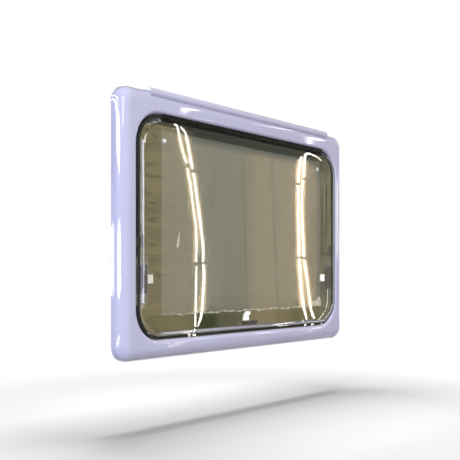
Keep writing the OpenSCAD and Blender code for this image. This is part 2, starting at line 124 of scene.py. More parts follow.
# Finishes, by name
LAVENDER = (0.565, 0.548, 0.705)
# Painted shade for the frame's reveal, standing in for the shadow in that recess
REVEAL_SHADE_OLIVE = (0.19, 0.170, 0.095)
MOULDED = {
    "frame_plastic": dict(
        colour=LAVENDER, roughness=0.05, spread=0.012, strength=0.06, lining=REVEAL_SHADE_OLIVE
    ),
    "gutter_plastic": dict(
        colour=(0.60, 0.585, 0.73), roughness=0.14, spread=0.012, strength=0.12
    ),
    "black_rubber": dict(colour=(0.022, 0.026, 0.022), roughness=0.45),
    "black_profile": dict(colour=(0.016, 0.019, 0.016), roughness=0.3),
    "black_bond": dict(colour=(0.020, 0.024, 0.020), roughness=0.5),
    "bronze": dict(colour=(0.20, 0.18, 0.115), roughness=0.4),
    "brown_plastic": dict(colour=(0.085, 0.036, 0.020), roughness=0.4),
    "white_plastic": dict(colour=(0.86, 0.85, 0.83), roughness=0.3),
    "pale_plastic": dict(colour=(0.80, 0.80, 0.82), roughness=0.35),
    "clear_pad": dict(colour=(0.36, 0.36, 0.34), roughness=0.25, Alpha=0.22),
    "steel": dict(colour=(0.62, 0.62, 0.63), roughness=0.28, Metallic=1.0),
}
ACRYLICS = {
    "outer_acrylic": (0.87, 0.86, 0.81),
    "inner_acrylic": (0.87, 0.86, 0.81),
}
# The finish of a CAD node is the first one whose key is in the node's name
NODE_FINISHES = {
    "outer_frame": "frame_plastic",
    "rain_gutter": "gutter_plastic",
    "frame_seal": "black_rubber",
    "hinge_rail": "black_profile",
    "sash_hinge_profile": "black_profile",
    "outer_pane": "outer_acrylic",
    "inner_pane": "inner_acrylic",
    "breather_plug": "pale_plastic",
    "_pad": "clear_pad",
    "_base": "brown_plastic",
    "_lever": "white_plastic",
    "_pin": "steel",
    "keeper": "brown_plastic",
    "stay": "bronze",
}

# Colours of the cloth behind the window
CLOTH_OLIVE = (0.265, 0.240, 0.150)
CLOTH_FOLD = (0.295, 0.255, 0.150)
CLOTH_WARM = (0.375, 0.315, 0.195)
CLOTH_COOL = (0.225, 0.225, 0.160)
CLOTH_SEAM = (0.11, 0.115, 0.07)
CLOTH_LINE = (0.12, 0.125, 0.075)
CLOTH_RIDGE = (0.12, 0.115, 0.065)
CLOTH_CREASE = (0.11, 0.105, 0.06)
# Painted shade at the cloth's top, standing in for the shade under the frame's top
CLOTH_TOP_SHADE = (0.025, 0.035, 0.020)
CLOTH_FOOT = (0.075, 0.085, 0.045)
# Its two dark seams: where each is at the height given below, and how much it leans
SEAMS = ((0.060, 0.04), (0.196, 0.07))
SEAM_Z = 0.3

# Studio
FLOOR_Z = -0.168
FLOOR_REACH = 6.0
FLOOR_GREY = (0.55, 0.55, 0.55)
FLOOR_WHITENS = (0.55, 0.95)
WORLD_LIGHT = (0.36, 0.36, 0.375)
WINDOW_MIDDLE = (0, 0, 0.3)
CARD_TOP = 2.9
CARD_FOOT = -0.1
NEAR_BLACK = (0.02, 0.02, 0.02)
DARK_GREEN = (0.05, 0.055, 0.04)
DARK_GREY = (0.06, 0.06, 0.06)
GREY = (0.20, 0.20, 0.19)
DOORWAY_BLUE = (0.80, 0.80, 1.0)
LEVER_LIGHTS = {"left": 3.8, "bottom": 58.0, "right": 75.0}

# Glowing strips: how far off they are, how near the floor they may come, and how wide one piece
# may be; a stroke has a point at least every so many pixels
LIGHT_REACH = 1.8
LIGHT_SPREAD = 0.16
LIGHT_STEP = 1.0
FLOOR_GAP = 0.02


# Strokes of light, drawn in the picture: a width, or a width at each point, and the points, all
# in pixels


def side_by_side(widths, path, shifts=(-0.9, 0, 0.9)):
    """Copies of a stroke, each moved to the side by so many pixels."""
    return [(widths, [(u + shift, v) for u, v in path]) for shift in shifts]


# Tube lamps in front of the window, as the pane mirrors them
PANE_TUBES = [
    (1.5, [(165, 120.7), (170, 122.8), (176.7, 125.3)]),
    (2.0, [(176.7, 125.3), (179.2, 134), (180.6, 142), (183, 152), (186.6, 163.6)]),
    (2.0, [(187.4, 168.2), (189.6, 180), (192, 198), (195.6, 223), (196.3, 240), (196.4, 261.6)]),
    (2.0, [(196.4, 265.8), (196, 290), (195.6, 310), (195, 330.5)]),
    (1.6, [(180.5, 127), (184.2, 130.6), (185.9, 134.5)]),
    (2.6, [(185.9, 134.5), (187.5, 142), (189.5, 152), (192.2, 168.6)]),
    (2.6, [(193.4, 172.6), (197, 198), (200.5, 223), (203, 246), (203.4, 261.4)]),
    (2.6, [(203.6, 264.6), (203.6, 285), (202.6, 305), (201.4, 315), (199.4, 323)]),
    (1.4, [(199.4, 323), (196.8, 327.6), (193.4, 330.2)]),
    (1.0, [(192.6, 331.6), (196.2, 334.4)]),
    (0.8, [(168, 118.4), (172, 120), (175.5, 124.2)]),
    (2.4, [(301.8, 156.5), (300, 165), (298.8, 172), (298.6, 182.6)]),
    (2.2, [(298.5, 185.8), (298.3, 200), (298.4, 219), (299.0, 240), (299.2, 256.2)]),
    (2.2, [(299.3, 259), (300.4, 280), (302.0, 297), (303.6, 308), (305.8, 315)]),
    (1.8, [(305.8, 315), (306.6, 318.6), (304.2, 320.6)]),
    (2.2, [(305.4, 154.4), (304.3, 163), (303.2, 177.4)]),
    (1.8, [(302.8, 180.2), (301.8, 203), (302.4, 230), (303.8, 256.4)]),
    (1.9, [(304.2, 260), (307, 280), (309.6, 300), (311.4, 311), (313.4, 317)]),
    (2.0, [(313.4, 317), (315.4, 319.8), (318.4, 319.4)]),
    ((2.0, 1.0, 0.7, 0.4), [(305.6, 153.6), (311, 154), (317, 157), (321.6, 160.6)]),
]
# Thin tails of the same lamps along the pane's shoulder
TAIL_STROKES = [
    ((0.7, 0.5, 0.4, 0.3), [(193.4, 330.2), (188, 331.8), (180, 333.4), (170, 334.8)]),
    ((0.7, 0.5, 0.4, 0.3), [(304.2, 320.6), (296, 321.9), (284, 323.4), (271.7, 325)]),
    (
        (0.7, 0.4, 0.3, 0.25, 0.2),
        [(318.4, 319.4), (323, 314.5), (326.4, 307), (327.5, 299), (327.6, 290)],
    ),
]
# Their housings, which show as a warm rim round them
TUBE_HOUSINGS = [
    (5.2, [(179.4, 135), (180.6, 142), (183, 152), (186.6, 164)]),
    (5.6, [(187.4, 168), (189.6, 180), (192, 198), (195.6, 223), (196.3, 240), (196.4, 262)]),
    (5.6, [(196.4, 265.4), (196, 290), (195.6, 312)]),
    (5.0, [(186.1, 136), (187.5, 142), (189.5, 152), (192.2, 169)]),
    (6.0, [(193.4, 172.2), (197, 198), (200.5, 223), (203, 246), (203.4, 262)]),
    (6.0, [(203.6, 264.4), (203.6, 285), (202.6, 305), (202, 312)]),
    (7.0, [(301.0, 159.5), (300, 165), (298.8, 172), (298.6, 183)]),
    (6.4, [(298.5, 185.4), (298.3, 200), (298.4, 219), (299.0, 240), (299.2, 256.6)]),
    (6.6, [(299.3, 258.6), (300.4, 280), (302.0, 297), (303, 306.6)]),
    (5.4, [(304.3, 160.5), (303.2, 178)]),
    (5.2, [(302.8, 180), (301.8, 203), (302.4, 230), (303.8, 256.8)]),
    (5.0, [(304.2, 259.6), (307, 280), (309.6, 300), (310.6, 306.8)]),
]
# A pale wall, as the rim and the shoulders mirror it at the pane's lower corners
RIM_LINES = [
    ((0.5, 0.8, 0.4), [(140.6, 310), (142.4, 318), (144.2, 324)]),
    ((0.6, 1.6, 0.6), [(147.2, 332.2), (149, 333.8), (151, 334.8)]),
    ((0.8, 1.0, 1.0, 1.0), [(320.6, 322.4), (325.6, 318), (330, 312), (332.6, 305)]),
]
# A window on the left, as the frame's outer rounding mirrors it
SIDE_STROKES = [
    (
        (0.8, 2.6, 3.2, 3.2, 2.2, 0.8),
        [(115.7, 106), (117.6, 114), (118.2, 125), (118.4, 148), (118.8, 160), (119.4, 172)],
    ),
    (
        (0.8, 3.0, 3.4, 3.4, 0.9),
        [(119.6, 223), (119.0, 232), (119.1, 250), (119.2, 287), (118.4, 297)],
    ),
    ((0.8, 2.4, 2.4, 0.9), [(112.6, 223), (112.4, 232), (112.4, 288), (113.0, 297)]),
]
# Tube lamps, as the flat of the frame's top bar mirrors them, and glints on its left corners
TOP_STROKES = [
    ((0.5, 1.0, 1.6, 2.2), [(199, 110.8), (192, 109.6), (186, 109), (183, 109.6)]),
    *side_by_side((0.9, 1.0, 0.9), [(183, 109.6), (181.8, 112), (181.8, 115.2)]),
    ((0.7, 1.2, 1.8, 2.2), [(322, 140.2), (316, 139), (310, 138.4), (307.6, 139)]),
    *side_by_side((0.9, 1.0, 0.9), [(307.6, 139), (308.6, 141.6), (311, 144.6)]),
    ((0.6, 1.8, 0.6), [(111.8, 97.6), (115.4, 101.4), (118.6, 106.2)]),
    ((0.5, 1.1, 0.5), [(113.8, 94.6), (115.8, 96.4), (117.8, 98.6)]),
    ((0.5, 1.6, 0.5), [(119.4, 337), (118.2, 342), (116.6, 347)]),
]
# A soft pale light, as the slope along the frame's foot mirrors it
LOW_STROKES = [
    (
        (0.8, 2.6, 3.2, 2.4, 0.8),
        [(163, 348.8), (172, 345.8), (182, 342.6), (190, 340.4), (198, 338)],
    ),
    ((0.8, 2.4, 2.4, 0.8), [(295, 335), (303, 332.6), (311, 330), (319, 327)]),
]

# The strips that the pane and the frame mirror, by name
PANE_STRIPS = {
    "tubes": dict(paths=PANE_TUBES, colour=(1, 0.96, 0.86), strength=26),
    "tails": dict(paths=TAIL_STROKES, colour=(1, 0.95, 0.86), strength=14, spread=0.6),
    "tube_housings": dict(
        paths=TUBE_HOUSINGS, colour=(1.0, 0.72, 0.40), strength=7.5, reach=2.35
    ),
    "rim_lights": dict(paths=RIM_LINES, colour=(0.72, 0.72, 0.95), strength=7, spread=0.6),
}
FRAME_STRIPS = {
    "side_lights": dict(
        paths=SIDE_STROKES, colour=(0.95, 0.97, 1.0), strength=34, reach=2.6, spread=3.0
    ),
    "top_lights": dict(paths=TOP_STROKES, colour=(1, 1, 1), strength=34, reach=2.5, spread=1.2),
    "low_lights": dict(paths=LOW_STROKES, colour=(1, 1, 1), strength=5, reach=2.5, spread=1.2),
}


# Camera


def add_camera():
    data = bpy.data.cameras.new("camera")
    data.sensor_width = SENSOR
    data.lens = FOCAL_PIXELS * SENSOR / IMAGE_SIDE
    data.shift_y = (HORIZON_ROW - IMAGE_SIDE / 2) / IMAGE_SIDE
    camera = bpy.data.objects.new("camera", data)
    camera.location = CAMERA_PLACE
    camera.rotation_euler = (math.radians(90), 0, math.radians(-CAMERA_YAW))
    bpy.context.scene.collection.objects.link(camera)
    bpy.context.scene.camera = camera


def picture_ray(u, v):
    """Direction from the camera through a point of the picture."""
    yaw = math.radians(CAMERA_YAW)
    ahead = Vector((math.sin(yaw), math.cos(yaw), 0))
    right = Vector((math.cos(yaw), -math.sin(yaw), 0))
    up = Vector((0, 0, 1))
    across = right * (u - IMAGE_SIDE / 2) / FOCAL_PIXELS
    return (ahead + across + up * (HORIZON_ROW - v) / FOCAL_PIXELS).normalized()


# Meshes


def make_object(name, points, faces, material, smooth=True, sharp=35):
    mesh = bpy.data.meshes.new(name)
    mesh.from_pydata([tuple(p) for p in points], [], faces)
    mesh.validate()
    mesh.update()
    if smooth:
        for polygon in mesh.polygons:
            polygon.use_smooth = True
        mesh.set_sharp_from_angle(angle=math.radians(sharp))
    mesh.materials.append(material)
    thing = bpy.data.objects.new(name, mesh)
    bpy.context.scene.collection.objects.link(thing)
    return thing


def piece(name, points, faces, material, sharp=35):
    """Piece of the window, on the body that doesn't move."""
    thing = make_object(name, points, faces, material, sharp=sharp)
    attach(thing, "root")
    return thing


def outline(inset):
    """Points round the pane, moved in by inset, about the middle of the pane."""
    w, h = PANE_W / 2 - inset, PANE_H / 2 - inset
    r = max(PANE_R - inset, LEAST_R)

    def on_corner(k, degrees):
        sx, sy = CORNERS[k % 4]
        a = math.radians(degrees)
        return sx * (w - r) + r * math.cos(a), sy * (h - r) + r * math.sin(a)

    points = []
    for k in range(4):
        points += [on_corner(k, 90 * k + 90 * i / CORNER_STEPS) for i in range(CORNER_STEPS + 1)]
        (x0, y0), (x1, y1) = points[-1], on_corner(k + 1, 90 * (k + 1))
        for i in range(1, SIDE_STEPS):
            t = i / SIDE_STEPS
            points.append((x0 + (x1 - x0) * t, y0 + (y1 - y0) * t))
    return points


def bulge(x, z):
    """Crown of the pane over a point, about the middle of the pane."""
    return CROWN * max(0, 1 - (2 * x / DOME_W) ** 2) * max(0, 1 - (2 * z / DOME_H) ** 2)


def pane_ring(inset, rise, level, scale=1.0, domed=True):
    """Ring round the pane, which rises over a level and is scaled about the pane's middle."""
    ring = []
    for x, z in outline(inset):
        x, z = x * scale, z * scale
        ring.append((x, -(level + rise + (bulge(x, z) if domed else 0)), z + PANE_MIDDLE_Z))
    return ring


def pane_skin(level, extra):
    """Rings from the inner edge of the rim to the middle of the dome."""
    rings = []
    for i in range(SHOULDER_STEPS + 1):
        t = i / SHOULDER_STEPS
        rise = SHOULDER_RISE * math.sin(math.pi / 2 * t)
        rings.append(pane_ring(RIM_W + extra + SHOULDER_W * t, rise, level))
    inset = RIM_W + extra + SHOULDER_W
    for i in range(1, DOME_STEPS):
        rings.append(pane_ring(inset, SHOULDER_RISE, level, scale=1 - i / DOME_STEPS))
    return rings


def add_pane(material, bond):
    """Domed outer sheet, with the black bond line on the back and the edge of its rim."""
    low = RIM_TOP - SHEET
    front = [pane_ring(0, 0, low, domed=False), pane_ring(RIM_BEVEL, 0, RIM_TOP, domed=False)]
    front += pane_skin(RIM_TOP, 0)
    back = pane_skin(low, SHEET)
    count = len(front[0])
    rings = front + back[::-1]
    points = [p for ring in rings for p in ring]
    faces, bonded = [], []
    for j in range(len(rings)):
        if j == len(front) - 1:
            continue
        a, b = j * count, ((j + 1) % len(rings)) * count
        if j in (0, len(rings) - 1):
            bonded += range(len(faces), len(faces) + count)
        faces += [(a + i, a + (i + 1) % count, b + (i + 1) % count, b + i) for i in range(count)]
    # The innermost rings close at the middle of the front and of the back
    points += [(0, -(level + SHOULDER_RISE + CROWN), PANE_MIDDLE_Z) for level in (RIM_TOP, low)]
    a, b = (len(front) - 1) * count, len(front) * count
    faces += [(a + i, a + (i + 1) % count, len(points) - 2) for i in range(count)]
    faces += [(b + (i + 1) % count, b + i, len(points) - 1) for i in range(count)]
    pane = piece("outer_sheet", points, faces, material, sharp=50)
    pane.data.materials.append(bond)
    for k in bonded:
        pane.data.polygons[k].material_index = 1
    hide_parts("outer_pane")
    return pane


def on_pane(x, z, above=FILM_GAP):
    """Point at a small distance over the outer sheet's dome."""
    depth = RIM_TOP + SHOULDER_RISE + bulge(x, z - PANE_MIDDLE_Z)
    return (x, -(depth + above), z)


def waved(level, waves, t):
    """The level, with waves on it at a share t of the film's width."""
    for height, turn, shift in waves:
        level += height * math.sin(turn * t + shift)
    return level


def film_foot(t):
    """Point of the film's torn lower edge, at a share t of its width."""
    return FILM_LEFT + (FILM_RIGHT - FILM_LEFT) * t, FILM_LOW + waved(0, TEAR_WAVES, t)


def add_film(material):
    """Thin film on the dome, with a torn lower edge."""
    points, faces = [], []
    for j in range(FILM_DOWN + 1):
        for i in range(FILM_ACROSS + 1):
            t = i / FILM_ACROSS
            top = waved(FILM_TOP, TOP_WAVES, t)
            x, low = film_foot(t)
            points.append(on_pane(x, top + (low - top) * (j / FILM_DOWN)))
    row = FILM_ACROSS + 1
    for j in range(FILM_DOWN):
        for a in range(j * row, j * row + FILM_ACROSS):
            faces.append((a, a + row, a + row + 1, a + 1))
    return piece("protective_film", points, faces, material)


def add_ribbon(points, faces, rows, turned=False):
    """Rows of four points each, joined into a ribbon."""
    for i, row in enumerate(rows):
        points += row
        for n in range(len(points) - 8, len(points) - 5) if i else ():
            face = (n, n + 4, n + 5, n + 1) if turned else (n, n + 1, n + 5, n + 4)
            faces.append(face)


def curl_row(t):
    """Section of the film's curled lower edge, at a share t of its width."""
    x, z = film_foot(t)
    radius = (CURL_LEAST + CURL_GROWTH * min(1, t * CURL_RISE)) * waved(1, CURL_WAVES, t)
    row = []
    for angle in (math.pi * step / 3 for step in range(4)):
        over = FILM_GAP + CURL_GAP + radius * math.sin(angle)
        row.append(on_pane(x, z + radius * math.cos(angle), over))
    return row


def add_lifted_corner(points, faces):
    """Corner that has come off the sheet and rolls back over the film."""
    left, right, tip = (Vector(end) for end in LIFTED_CORNER)
    starts = []
    for i in range(LIFTED_STEPS + 1):
        starts.append(len(points))
        for j in range(LIFTED_STEPS + 1 - i):
            s, t = i / LIFTED_STEPS, j / LIFTED_STEPS
            flat = tip + (left - tip) * s + (right - tip) * t
            off_fold = 1 - (s + t)
            lift = LIFT * math.sin(math.pi * off_fold * LIFT_TURN) + LIFT_GAP
            points.append(on_pane(flat.x, flat.y, FILM_GAP + lift))
    for i in range(LIFTED_STEPS):
        a, b = starts[i], starts[i + 1]
        for j in range(LIFTED_STEPS - i):
            faces.append((a + j, b + j, a + j + 1))
            if j < LIFTED_STEPS - i - 1:
                faces.append((b + j, b + j + 1, a + j + 1))


def add_film_edges(material):
    """The film's curled lower edge, its lifted corner and its crease."""
    points, faces = [], []
    add_ribbon(points, faces, [curl_row(i / CURL_STEPS) for i in range(CURL_STEPS + 1)])
    add_lifted_corner(points, faces)
    rows = [
        [on_pane(x + side * wide, z, FILM_GAP + up) for side, up in CREASE_SECTION]
        for x, z, wide in CREASE
    ]
    add_ribbon(points, faces, rows, turned=True)
    return piece("film_edges", points, faces, material, sharp=70)


# Materials


class Graph:
    """A new material, and short names for what its nodes do."""

    def __init__(self, name):
        self.material = bpy.data.materials.new(name)
        self.material.use_nodes = True
        self.tree = self.material.node_tree
        self.shader = self.tree.nodes["Principled BSDF"]
        self.place = self.tree.nodes.new("ShaderNodeTexCoord").outputs["Object"]

    def link(self, a, b):
        self.tree.links.new(a, b)

    def feed(self, value, socket):
        """Links a socket, or sets a plain value."""
        if isinstance(value, bpy.types.NodeSocket):
            self.link(value, socket)
        else:
            socket.default_value = value

    def set(self, values):
        """Feeds the shader's sockets, by name."""
        for name, value in values.items():
            self.feed(value, self.shader.inputs[name])

    def math(self, operation, *values):
        node = self.tree.nodes.new("ShaderNodeMath")
        node.operation = operation
        for value, socket in zip(values, node.inputs):
            self.feed(value, socket)
        return node.outputs["Value"]

    def length(self, vector):
        node = self.tree.nodes.new("ShaderNodeVectorMath")
        node.operation = "LENGTH"
        self.link(vector, node.inputs[0])
        return node.outputs["Value"]

    def axes(self):
        node = self.tree.nodes.new("ShaderNodeSeparateXYZ")
        self.link(self.place, node.inputs[0])
        return node.outputs["X"], node.outputs["Y"], node.outputs["Z"]

    def noise(self, scale, detail=3.0, stretch=(1, 1, 1), turn=(0, 0, 0)):
        mapping = self.tree.nodes.new("ShaderNodeMapping")
        mapping.inputs["Scale"].default_value = stretch
        mapping.inputs["Rotation"].default_value = turn
        self.link(self.place, mapping.inputs["Vector"])
        node = self.tree.nodes.new("ShaderNodeTexNoise")
        node.inputs["Scale"].default_value = scale
        node.inputs["Detail"].default_value = detail
        self.link(mapping.outputs["Vector"], node.inputs["Vector"])
        return node.outputs["Fac"]

    def ranged(self, value, low, high, start=0.3, end=0.7):
        """Goes from low to high while the value goes from start to end."""
        node = self.tree.nodes.new("ShaderNodeMapRange")
        node.inputs["From Min"].default_value = start
        node.inputs["From Max"].default_value = end
        node.inputs["To Min"].default_value = low
        node.inputs["To Max"].default_value = high
        self.link(value, node.inputs["Value"])
        return node.outputs["Result"]

    def blend(self, value, first, second):
        """Goes from the first colour to the second while the value goes from 0 to 1."""
        node = self.tree.nodes.new("ShaderNodeMix")
        node.data_type = "RGBA"
        self.link(value, node.inputs["Factor"])
        for colour, socket in ((first, "A"), (second, "B")):
            plain = isinstance(colour, tuple)
            self.feed((*colour, 1) if plain else colour, node.inputs[socket])
        return node.outputs["Result"]

    def bump(self, value, strength, distance):
        node = self.tree.nodes.new("ShaderNodeBump")
        node.inputs["Strength"].default_value = strength
        node.inputs["Distance"].default_value = distance
        self.link(value, node.inputs["Height"])
        self.link(node.outputs["Normal"], self.shader.inputs["Normal"])

    def to_outline(self, width, height, radius, middle):
        """Distance to a rounded rectangle in the plane of the wall, less than zero inside it."""
        x, _, z = self.axes()
        z = self.math("SUBTRACT", z, middle)
        across = self.math("SUBTRACT", self.math("ABSOLUTE", x), width / 2 - radius)
        up = self.math("SUBTRACT", self.math("ABSOLUTE", z), height / 2 - radius)
        join = self.tree.nodes.new("ShaderNodeCombineXYZ")
        self.link(self.math("MAXIMUM", across, 0.0), join.inputs["X"])
        self.link(self.math("MAXIMUM", up, 0.0), join.inputs["Y"])
        outside = self.length(join.outputs["Vector"])
        inside = self.math("MINIMUM", self.math("MAXIMUM", across, up), 0.0)
        return self.math("SUBTRACT", self.math("ADD", outside, inside), radius)


def moulded(name, colour, roughness, spread=0.03, strength=0.3, lining=None, **sockets):
    """Moulded or rolled surface whose colour, gloss and level vary a little."""
    g = Graph(name)
    cloud = g.noise(CLOUD_SCALE, detail=2.0)
    dark = tuple(c * (1 - spread) for c in colour)
    pale = tuple(min(1.0, c * (1 + spread)) for c in colour)
    shown = g.blend(g.ranged(cloud, 0, 1), dark, pale)
    grain = g.noise(GRAIN_SCALE, detail=4.0)
    gloss = g.ranged(grain, roughness * (1 - GLOSS_SPREAD), roughness * (1 + GLOSS_SPREAD))
    # Painted shade in the frame's reveal, darker still towards its top; it is rougher there too
    if lining:
        _, y, z = g.axes()
        deep = g.math("GREATER_THAN", y, REVEAL_SHADE_FRONT)
        opening = g.to_outline(OPENING_W, OPENING_H, OPENING_R, PANE_MIDDLE_Z)
        in_shaded_reveal = g.math("MULTIPLY", deep, g.math("LESS_THAN", opening, REVEAL_SHADE_PLAY))
        reveal_top_shade = tuple(c * REVEAL_TOP_SHADE_SHARE for c in lining)
        shade = g.blend(g.ranged(z, 0, 1, *REVEAL_SHADE_DARKENS), lining, reveal_top_shade)
        shown = g.blend(in_shaded_reveal, shown, shade)
        gloss = g.math("ADD", gloss, g.math("MULTIPLY", in_shaded_reveal, REVEAL_SHADE_ROUGHER))
    g.set({"Base Color": shown, "Roughness": gloss, **sockets})
    g.bump(grain, strength, GRAIN_DEPTH)
    return g.material


def acrylic(name, tint):
    """Clear tinted sheet with faint ripples."""
    g = Graph(name)
    cloud = g.noise(3.0, detail=2.0, stretch=(3, 1, 0.4))
    pale = tuple(min(1.0, c * 1.02) for c in tint)
    g.set({
        "Base Color": g.blend(g.ranged(cloud, 0, 1), tint, pale),
        "Roughness": 0.0,
        "Transmission Weight": 1.0,
        "IOR": 1.49,
    })
    g.bump(g.noise(9.0, detail=2.0, stretch=(1, 1, 2.5)), strength=0.10, distance=0.0004)
    return g.material


def film_material():
    """Thin, slightly pale film, finely creased from top to foot."""
    g = Graph("film")
    cloud = g.noise(5.0, stretch=(3, 1, 0.5))
    creased = g.noise(60.0, stretch=(1.6, 1, 0.25))
    g.set({
        "Base Color": g.blend(g.ranged(cloud, 0, 1), (0.62, 0.60, 0.56), (0.72, 0.69, 0.62)),
        "Roughness": g.ranged(creased, 0.05, 0.15, start=0.45, end=0.75),
        "Alpha": 0.16,
        "Specular IOR Level": 1.0,
        "Specular Tint": (1.0, 0.86, 0.62, 1),
    })
    g.bump(creased, strength=0.12, distance=0.0003)
    return g.material


def film_edge_material():
    """The same film where it is rolled up: speckled, and harder to see through."""
    g = Graph("film_edge")
    speck = g.noise(160.0)
    g.set({
        "Base Color": g.blend(g.ranged(speck, 0, 1), (0.62, 0.53, 0.42), (0.88, 0.80, 0.70)),
        "Roughness": 0.35,
        "Alpha": g.ranged(speck, 0.45, 0.85),
    })
    g.bump(speck, strength=0.4, distance=0.0003)
    return g.material


# Studio


def upright_card(x0, x1, y0, y1, low, high):
    return [(x0, y0, low), (x1, y1, low), (x1, y1, high), (x0, y0, high)]


def level_card(x0, x1, y0, y1, z):
    return [(x0, y0, z), (x1, y0, z), (x1, y1, z), (x0, y1, z)]


def emission_material(name, colour, strength=1.0):
    material = bpy.data.materials.new(name)
    material.use_nodes = True
    tree = material.node_tree
    tree.nodes.clear()
    out = tree.nodes.new("ShaderNodeOutputMaterial")
    glow = tree.nodes.new("ShaderNodeEmission")
    glow.inputs["Color"].default_value = (*colour, 1)
    glow.inputs["Strength"].default_value = strength
    tree.links.new(glow.outputs["Emission"], out.inputs["Surface"])
    return material


def seen_by(thing, diffuse=False, glossy=False, transmission=False):
    """Shows a thing to the rays named alone. It isn't in view and casts no shadow."""
    thing.visible_camera = False
    thing.visible_diffuse = diffuse
    thing.visible_glossy = glossy
    thing.visible_transmission = transmission
    thing.visible_volume_scatter = False
    thing.visible_shadow = False


def add_flag(name, corners, material, **seen):
    """Studio card that only the rays named see."""
    flag = make_object(name, corners, [tuple(range(len(corners)))], material, smooth=False)
    seen_by(flag, **seen)
    return flag


def linked(name, things, without=False):
    """Collection for light linking: only these things, or everything without them."""
    group = bpy.data.collections.new(name)
    for thing in things:
        group.objects.link(thing)
    for entry in group.collection_objects if without else ():
        entry.light_linking.link_state = "EXCLUDE"
    return group


def add_lamp(
    name, place, target, size, radiance, colour=(1, 1, 1), size_y=None, glossy=False, only=None
):
    """Soft lamp for everything or for some things, which shows in gloss only if it says so."""
    data = bpy.data.lights.new(name, "AREA")
    data.shape = "RECTANGLE"
    data.size = size
    data.size_y = size_y or size
    data.energy = radiance * math.pi * data.size * data.size_y
    data.color = colour
    lamp = bpy.data.objects.new(name, data)
    lamp.location = place
    lamp.rotation_euler = (Vector(target) - Vector(place)).to_track_quat("-Z", "Y").to_euler()
    bpy.context.scene.collection.objects.link(lamp)
    lamp.visible_camera = False
    lamp.visible_glossy = glossy
    if only:
        lamp.light_linking.receiver_collection = linked(name + "_lights", only)
    return lamp


class Mirror:
    """A surface of the window, and what it mirrors at points of the picture."""

    def __init__(self, thing):
        self.mesh = thing.data
        self.mesh.calc_loop_triangles()
        self.faces = list(self.mesh.loop_triangles)
        places = [v.co for v in self.mesh.vertices]
        self.tree = BVHTree.FromPolygons(places, [face.vertices for face in self.faces])

    def place(self, u, v, reach):
        """Where the picture's ray is after the surface has mirrored it, above the floor."""
        start, ray = Vector(CAMERA_PLACE), picture_ray(u, v)
        hit, _, index, _ = self.tree.ray_cast(start, ray)
        if hit is None:
            return None
        face = self.faces[index]
        weights = poly_3d_calc([self.mesh.vertices[k].co for k in face.vertices], hit)
        normal = Vector()
        for loop, weight in zip(face.loops, weights):
            normal += self.mesh.corner_normals[loop].vector * weight
        normal.normalize()
        out = ray - 2 * ray.dot(normal) * normal
        if out.z < 0:
            reach = min(reach, (hit.z - FLOOR_Z - FLOOR_GAP) / -out.z)
        return hit + out * reach


def resampled(widths, path):
    """The path with a point at least every pixel, and the width at each."""
    if not isinstance(widths, tuple):
        widths = [widths] * len(path)
    points = [(widths[0], *path[0])]
    for i in range(1, len(path)):
        start, end = Vector((widths[i - 1], *path[i - 1])), Vector((widths[i], *path[i]))
        count = max(1, math.ceil(math.dist(path[i - 1], path[i]) / LIGHT_STEP))
        points += [tuple(start.lerp(end, k / count)) for k in range(1, count + 1)]
    return points


def add_strips(
    name, mirror, paths, colour, strength, only, reach=LIGHT_REACH, spread=LIGHT_SPREAD
):
    """Thin glowing strips, each where the surface mirrors a path that is drawn in the picture."""
    points, faces = [], []
    for widths, path in paths:
        line = resampled(widths, path)
        last = None
        for i, (width, u, v) in enumerate(line):
            before, after = line[max(i - 1, 0)], line[min(i + 1, len(line) - 1)]
            along = Vector((after[1] - before[1], after[2] - before[2])).normalized()
            side = Vector((-along.y, along.x)) * width / 2
            pair = [mirror.place(u + side.x * k, v + side.y * k, reach) for k in (-1, 1)]
            if None in pair or (pair[0] - pair[1]).length > spread:
                last = None
                continue
            if last and max((a - b).length for a, b in zip(pair, last)) < spread:
                n = len(points)
                points += last + pair
                faces.append((n, n + 1, n + 3, n + 2))
            last = pair
    material = emission_material(name, colour, strength)
    strips = make_object(name, points, faces, material, smooth=False)
    seen_by(strips, glossy=True)
    strips.light_linking.receiver_collection = linked(name + "_lights", only)
    return strips


def background_rays(tree):
    """Socket that is 1 for the rays that show the background: from camera, gloss and glass."""
    path = tree.nodes.new("ShaderNodeLightPath")
    seen = path.outputs["Is Camera Ray"]
    for ray in ("Is Glossy Ray", "Is Transmission Ray"):
        join = tree.nodes.new("ShaderNodeMath")
        join.operation = "MAXIMUM"
        tree.links.new(seen, join.inputs[0])
        tree.links.new(path.outputs[ray], join.inputs[1])
        seen = join.outputs[0]
    return seen


def add_world():
    """Grey light from all round, with a white background."""
    world = bpy.data.worlds.new("world")
    world.use_nodes = True
    tree = world.node_tree
    mix = tree.nodes.new("ShaderNodeMix")
    mix.data_type = "RGBA"
    tree.links.new(background_rays(tree), mix.inputs["Factor"])
    mix.inputs["A"].default_value = (*WORLD_LIGHT, 1)
    mix.inputs["B"].default_value = (1, 1, 1, 1)
    tree.links.new(mix.outputs["Result"], tree.nodes["Background"].inputs["Color"])
    bpy.context.scene.world = world
    world.cycles.sampling_method = "NONE"


def floor_material():
    """Pale floor that turns into the white background away from the window."""
    g = Graph("floor")
    g.set({"Base Color": (*FLOOR_GREY, 1), "Roughness": 0.9, "Specular IOR Level": 0.0})
    far = g.ranged(g.length(g.place), 0, 1, *FLOOR_WHITENS)
    glow = g.tree.nodes.new("ShaderNodeEmission")
    mix = g.tree.nodes.new("ShaderNodeMixShader")
    g.link(g.math("MULTIPLY", background_rays(g.tree), far), mix.inputs["Fac"])
    g.link(g.shader.outputs["BSDF"], mix.inputs[1])
    g.link(glow.outputs["Emission"], mix.inputs[2])
    g.link(mix.outputs["Shader"], g.tree.nodes["Material Output"].inputs["Surface"])
    return g.material


